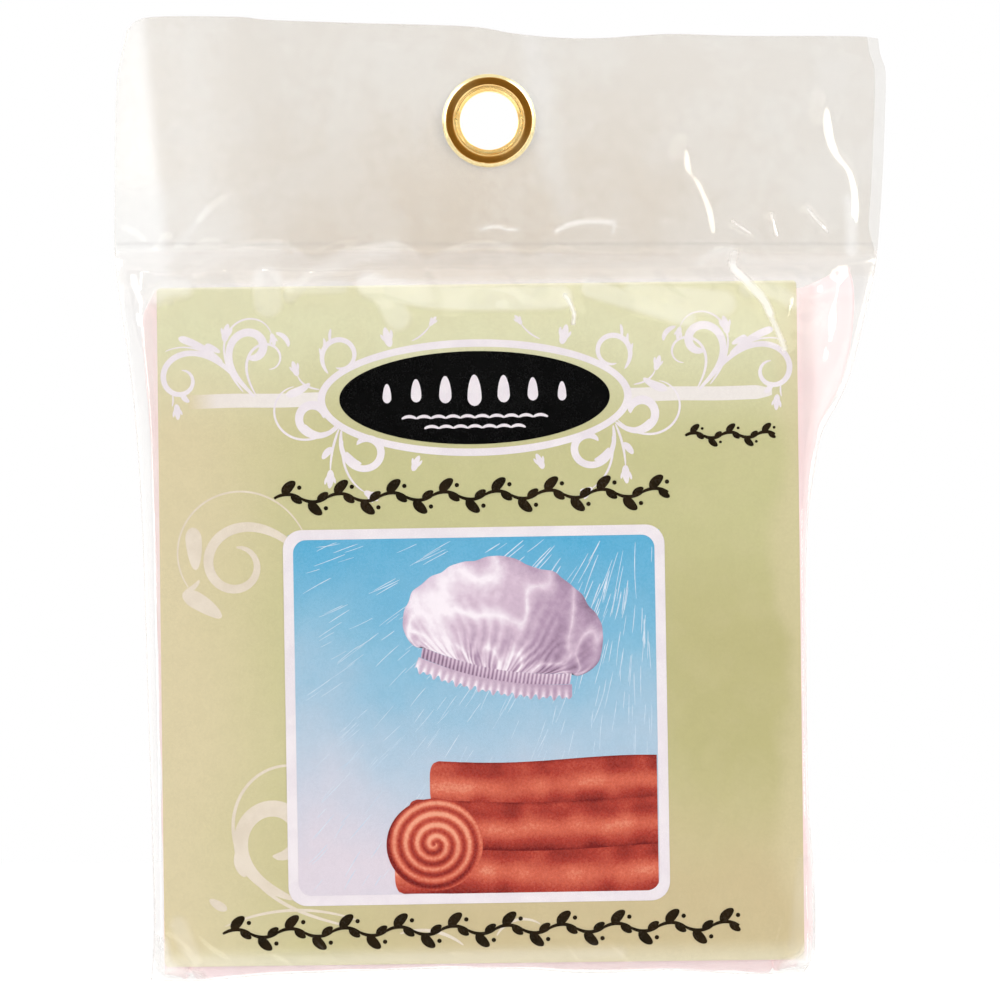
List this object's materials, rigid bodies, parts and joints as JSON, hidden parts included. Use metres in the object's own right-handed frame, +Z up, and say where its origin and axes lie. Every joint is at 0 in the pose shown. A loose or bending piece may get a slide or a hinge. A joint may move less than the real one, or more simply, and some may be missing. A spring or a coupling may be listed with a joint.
{
  "type": "shower cap",
  "caption": "Folded vinyl shower cap with a gathered elastic hem, in a clear hanging pouch with a printed card and a metal eyelet in its header.",
  "frame": {"origin": "centre of the eyelet's hole, midway between the header's two films", "axes": "+Z up as the pack hangs, +X to the right seen from the front, the printed front faces -Y"},
  "size_m": [0.138, 0.0129, 0.1711],
  "materials": {
    "clear_film": "clear glossy vinyl, slightly hazy where two sheets lie together",
    "weld": "fused vinyl, milky",
    "eyelet_brass": "bright plated",
    "card": "printed and varnished board",
    "cap_vinyl": "thin translucent vinyl, satin",
    "elastic": "white cord"
  },
  "bodies": {
    "header": {"header_front_film": "clear_film", "header_back_film": "clear_film", "crease_weld": "weld", "eyelet_barrel": "eyelet_brass", "eyelet_washer": "eyelet_brass"},
    "pouch": {"pouch_front_film": "clear_film", "pouch_back_film": "clear_film", "edge_weld": "weld", "cap_crown": "cap_vinyl", "cap_hem": "cap_vinyl", "cap_elastic": "elastic"},
    "card": {"insert_card": "card"}
  },
  "joints": [
    {"name": "crease_fold", "type": "hinge", "parent": "header", "child": "pouch", "pos_m": [0, 0, -0.022], "axis": [1, 0, 0], "range_deg": [-115, 115]},
    {"name": "card_play", "type": "slide", "parent": "pouch", "child": "card", "axis": [0, 0, 1], "range_m": [0, 0.002]}
  ]
}
